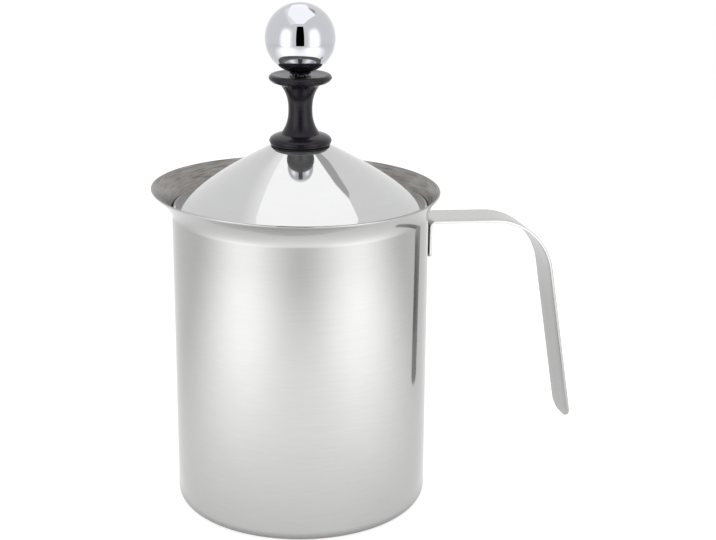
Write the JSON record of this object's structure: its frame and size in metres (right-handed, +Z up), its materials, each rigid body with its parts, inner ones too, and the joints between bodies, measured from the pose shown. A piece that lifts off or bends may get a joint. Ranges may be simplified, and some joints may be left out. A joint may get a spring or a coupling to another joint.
{
  "type": "manual milk frother",
  "caption": "Steel jug with a pouring lip and strap handle, a conical lid with a black guide spool, and a ball-topped plunger that carries fine mesh screens.",
  "frame": {"origin": "on the jug's axis in the plane that it stands on", "axes": "+Z up along the jug's axis, +X towards the handle, the pouring lip at -X"},
  "size_m": [0.1719, 0.111, 0.1998],
  "materials": {
    "jug_steel": "satin, brushed round the jug",
    "strap_steel": "satin, brushed lengthwise",
    "lid_steel": "mirror polish",
    "ball_chrome": "mirror polish",
    "spool_plastic": "satin black",
    "seal_rubber": "matt black",
    "insert_plastic": "satin black",
    "rod_steel": "bright drawn",
    "fastener_steel": "bright turned",
    "screen_steel": "pressed and woven"
  },
  "bodies": {
    "jug": {"jug_shell": "jug_steel", "handle_strap": "strap_steel"},
    "lid": {"lid_cone": "lid_steel", "guide_seal": "seal_rubber", "guide_spool": "spool_plastic", "guide_bush": "fastener_steel", "lid_washer": "fastener_steel", "lid_nut": "fastener_steel"},
    "knob": {"ball_knob": "ball_chrome", "knob_insert": "insert_plastic"},
    "rod": {"plunger_rod": "rod_steel", "stop_nut": "fastener_steel", "upper_washer": "fastener_steel", "screen_spring": "screen_steel", "lower_screen_net": "screen_steel", "lower_screen_rim": "screen_steel", "lower_screen_hub": "screen_steel", "lower_washer": "fastener_steel", "cap_nut": "fastener_steel"},
    "upper_screen": {"upper_screen_net": "screen_steel", "upper_screen_rim": "screen_steel", "upper_screen_hub": "screen_steel"}
  },
  "joints": [
    {"name": "lid_lift", "type": "slide", "parent": "jug", "child": "lid", "axis": [0, 0, 1], "range_m": [0, 0.14]},
    {"name": "plunger_slide", "type": "slide", "parent": "lid", "child": "knob", "axis": [0, 0, 1], "range_m": [0, 0.0875]},
    {"name": "plunger_spin", "type": "hinge", "parent": "knob", "child": "rod", "pos_m": [0, 0, 0], "axis": [0, 0, 1], "continuous": true},
    {"name": "upper_screen_float", "type": "slide", "parent": "rod", "child": "upper_screen", "axis": [0, 0, 1], "range_m": [-0.005, 0], "stiffness_N_per_m": 150, "springref_m": 0.004, "deforming": ["screen_spring"]}
  ]
}
